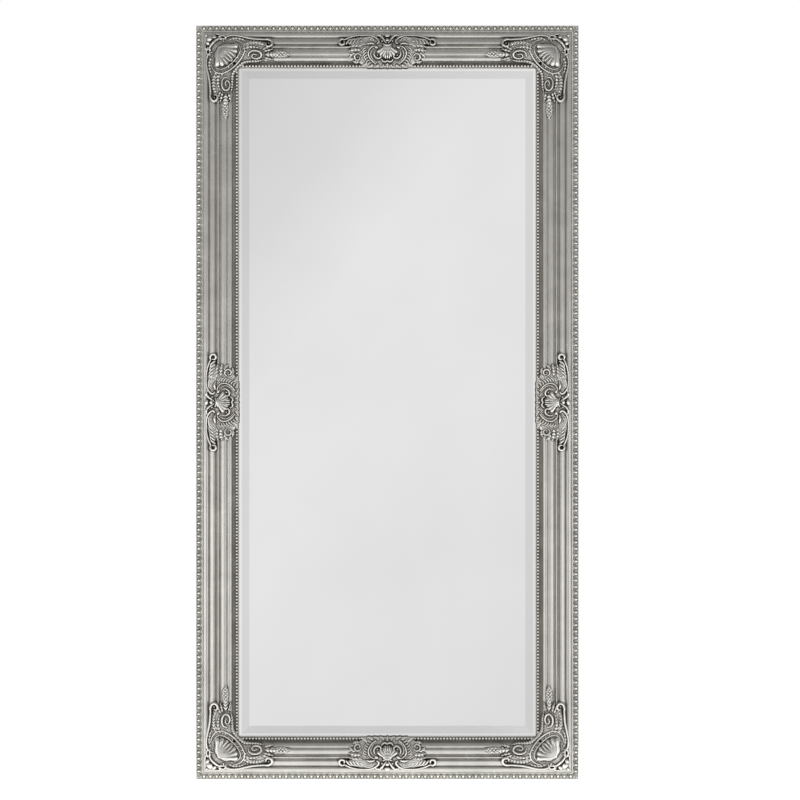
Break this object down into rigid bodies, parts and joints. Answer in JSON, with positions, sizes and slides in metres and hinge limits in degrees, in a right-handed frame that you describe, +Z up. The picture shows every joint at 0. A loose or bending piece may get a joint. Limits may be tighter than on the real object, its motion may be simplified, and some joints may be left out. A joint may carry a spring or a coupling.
{
  "type": "baroque wall mirror",
  "caption": "Tall wall mirror: bevelled plate in a silvered baroque frame with shell corners, cartouches, bead rows and hinged hanging rings.",
  "frame": {"origin": "middle of the flat bottom edge, half way through its thickness", "axes": "+X to the right as the mirror is looked at, +Z up, front towards -Y, wall towards +Y"},
  "size_m": [0.85, 0.057, 1.675],
  "materials": {
    "silver_moulding": "wood moulding under gesso, antique silver leaf with dark patina in the recesses",
    "silver_beads": "pressed composition strip, antique silver leaf with dark patina",
    "silver_ornament": "cast composition, antique silver leaf rubbed bright on the high parts",
    "mirror_plate": "silvered float glass with a polished bevel",
    "hardboard": "brown hardboard, smooth face out",
    "zinc_steel": "bright zinc plated steel",
    "rubber": "black rubber"
  },
  "bodies": {
    "frame": {"backing_board": "hardboard", "bottom_cartouche": "silver_ornament", "bottom_egg_row": "silver_beads", "bottom_left_corner": "silver_ornament", "bottom_left_corner_plate": "zinc_steel", "bottom_pearl_row": "silver_beads", "bottom_rail": "silver_moulding", "bottom_rail_hanger_strap": "zinc_steel", "bottom_right_corner": "silver_ornament", "bottom_right_corner_plate": "zinc_steel", "corner_plate_screws": "zinc_steel", "framing_tabs": "zinc_steel", "glass_setting_blocks": "rubber", "hanger_screws": "zinc_steel", "left_cartouche": "silver_ornament", "left_egg_row": "silver_beads", "left_pearl_row": "silver_beads", "left_stile": "silver_moulding", "left_stile_hanger_strap": "zinc_steel", "mirror_glass": "mirror_plate", "mitre_nails": "zinc_steel", "right_cartouche": "silver_ornament", "right_egg_row": "silver_beads", "right_pearl_row": "silver_beads", "right_stile": "silver_moulding", "right_stile_hanger_strap": "zinc_steel", "top_cartouche": "silver_ornament", "top_egg_row": "silver_beads", "top_left_corner": "silver_ornament", "top_left_corner_plate": "zinc_steel", "top_pearl_row": "silver_beads", "top_rail": "silver_moulding", "top_rail_hanger_strap": "zinc_steel", "top_right_corner": "silver_ornament", "top_right_corner_plate": "zinc_steel", "wall_bumpers": "rubber"},
    "left_stile_ring": {"left_stile_hanger_ring": "zinc_steel"},
    "right_stile_ring": {"right_stile_hanger_ring": "zinc_steel"},
    "top_rail_ring": {"top_rail_hanger_ring": "zinc_steel"},
    "bottom_rail_ring": {"bottom_rail_hanger_ring": "zinc_steel"}
  },
  "joints": [
    {"name": "left_stile_ring_hinge", "type": "hinge", "parent": "frame", "child": "left_stile_ring", "pos_m": [-0.382, 0.0133, 1.34], "axis": [1, 0, 0], "range_deg": [0, 180]},
    {"name": "right_stile_ring_hinge", "type": "hinge", "parent": "frame", "child": "right_stile_ring", "pos_m": [0.382, 0.0133, 1.34], "axis": [1, 0, 0], "range_deg": [0, 180]},
    {"name": "top_rail_ring_hinge", "type": "hinge", "parent": "frame", "child": "top_rail_ring", "pos_m": [0.255, 0.0133, 1.632], "axis": [0, 0, -1], "range_deg": [0, 180]},
    {"name": "bottom_rail_ring_hinge", "type": "hinge", "parent": "frame", "child": "bottom_rail_ring", "pos_m": [0.255, 0.0133, 0.043], "axis": [0, 0, -1], "range_deg": [0, 180]}
  ]
}
